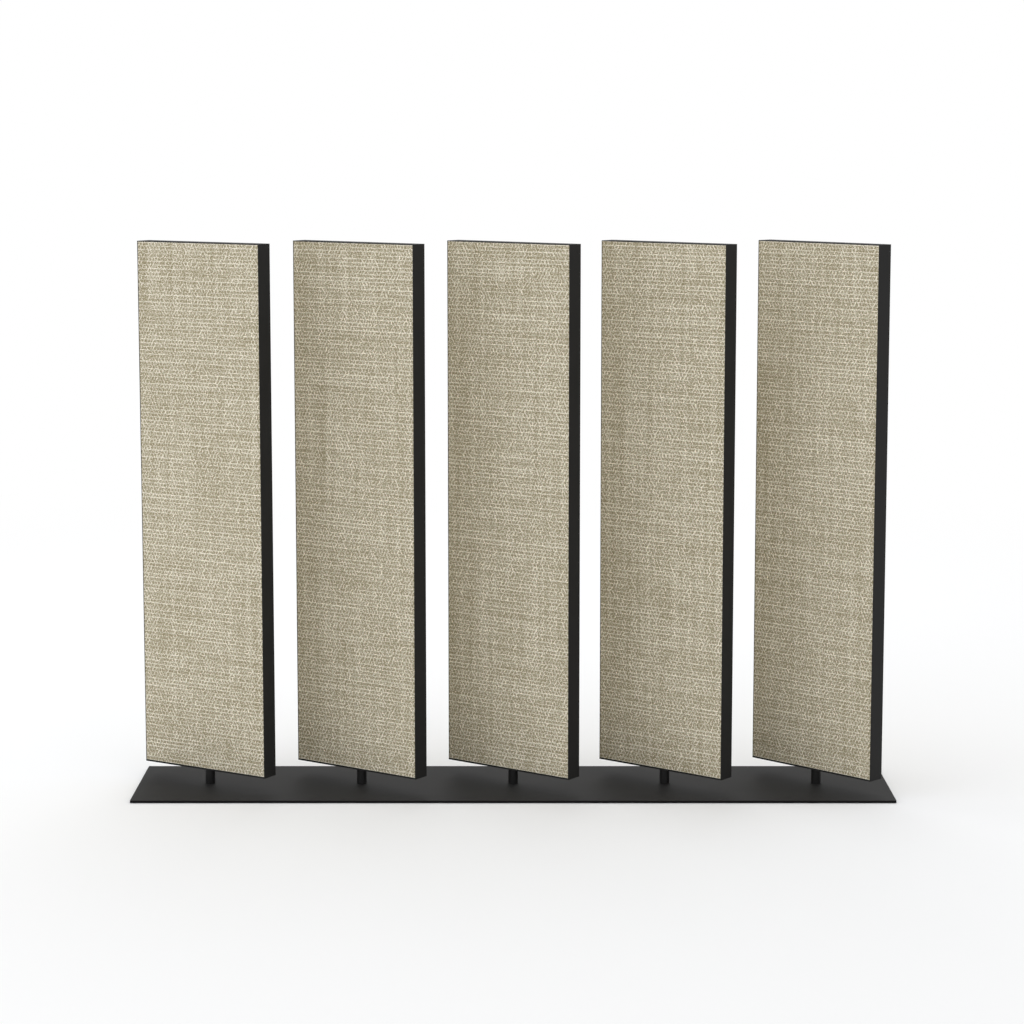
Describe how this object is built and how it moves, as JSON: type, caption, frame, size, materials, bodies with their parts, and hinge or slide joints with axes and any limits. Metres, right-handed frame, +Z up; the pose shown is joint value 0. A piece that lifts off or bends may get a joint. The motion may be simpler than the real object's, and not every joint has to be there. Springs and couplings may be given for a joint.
{
  "type": "room divider",
  "caption": "Room divider: tall upholstered panels in slim black frames, each turning on its own short post, in a row on one flat base plate.",
  "frame": {"origin": "on the floor, under the centre of the base plate", "axes": "+X along the base, +Y away from the front, +Z up"},
  "size_m": [2, 0.38, 1.4515],
  "materials": {
    "base": "matte",
    "post": "satin",
    "frame": "satin",
    "cover": "matte",
    "core": "matte",
    "cleat": "satin",
    "tube": "satin",
    "bush": "matte",
    "screw": "satin",
    "pad": "matte"
  },
  "bodies": {
    "base": {"base_plate": "base", "glide_pads": "pad", "post_screws": "screw", "thrust_washers": "bush", "post_1": "post", "post_2": "post", "post_3": "post", "post_4": "post", "post_5": "post"},
    "panel_1": {"left_stile_1": "frame", "right_stile_1": "frame", "top_rail_1": "frame", "bottom_rail_1": "frame", "corner_cleats_1": "cleat", "pivot_tube_1": "tube", "bushes_1": "bush", "core_1": "core", "front_cover_1": "cover", "back_cover_1": "cover"},
    "panel_2": {"left_stile_2": "frame", "right_stile_2": "frame", "top_rail_2": "frame", "bottom_rail_2": "frame", "corner_cleats_2": "cleat", "pivot_tube_2": "tube", "bushes_2": "bush", "core_2": "core", "front_cover_2": "cover", "back_cover_2": "cover"},
    "panel_3": {"left_stile_3": "frame", "right_stile_3": "frame", "top_rail_3": "frame", "bottom_rail_3": "frame", "corner_cleats_3": "cleat", "pivot_tube_3": "tube", "bushes_3": "bush", "core_3": "core", "front_cover_3": "cover", "back_cover_3": "cover"},
    "panel_4": {"left_stile_4": "frame", "right_stile_4": "frame", "top_rail_4": "frame", "bottom_rail_4": "frame", "corner_cleats_4": "cleat", "pivot_tube_4": "tube", "bushes_4": "bush", "core_4": "core", "front_cover_4": "cover", "back_cover_4": "cover"},
    "panel_5": {"left_stile_5": "frame", "right_stile_5": "frame", "top_rail_5": "frame", "bottom_rail_5": "frame", "corner_cleats_5": "cleat", "pivot_tube_5": "tube", "bushes_5": "bush", "core_5": "core", "front_cover_5": "cover", "back_cover_5": "cover"}
  },
  "joints": [
    {"name": "panel_1_swivel", "type": "hinge", "parent": "base", "child": "panel_1", "pos_m": [-0.81, 0, 0.0515], "axis": [0, 0, 1], "continuous": true},
    {"name": "panel_2_swivel", "type": "hinge", "parent": "base", "child": "panel_2", "pos_m": [-0.405, 0, 0.0515], "axis": [0, 0, 1], "continuous": true},
    {"name": "panel_3_swivel", "type": "hinge", "parent": "base", "child": "panel_3", "pos_m": [0, 0, 0.0515], "axis": [0, 0, 1], "continuous": true},
    {"name": "panel_4_swivel", "type": "hinge", "parent": "base", "child": "panel_4", "pos_m": [0.405, 0, 0.0515], "axis": [0, 0, 1], "continuous": true},
    {"name": "panel_5_swivel", "type": "hinge", "parent": "base", "child": "panel_5", "pos_m": [0.81, 0, 0.0515], "axis": [0, 0, 1], "continuous": true}
  ]
}
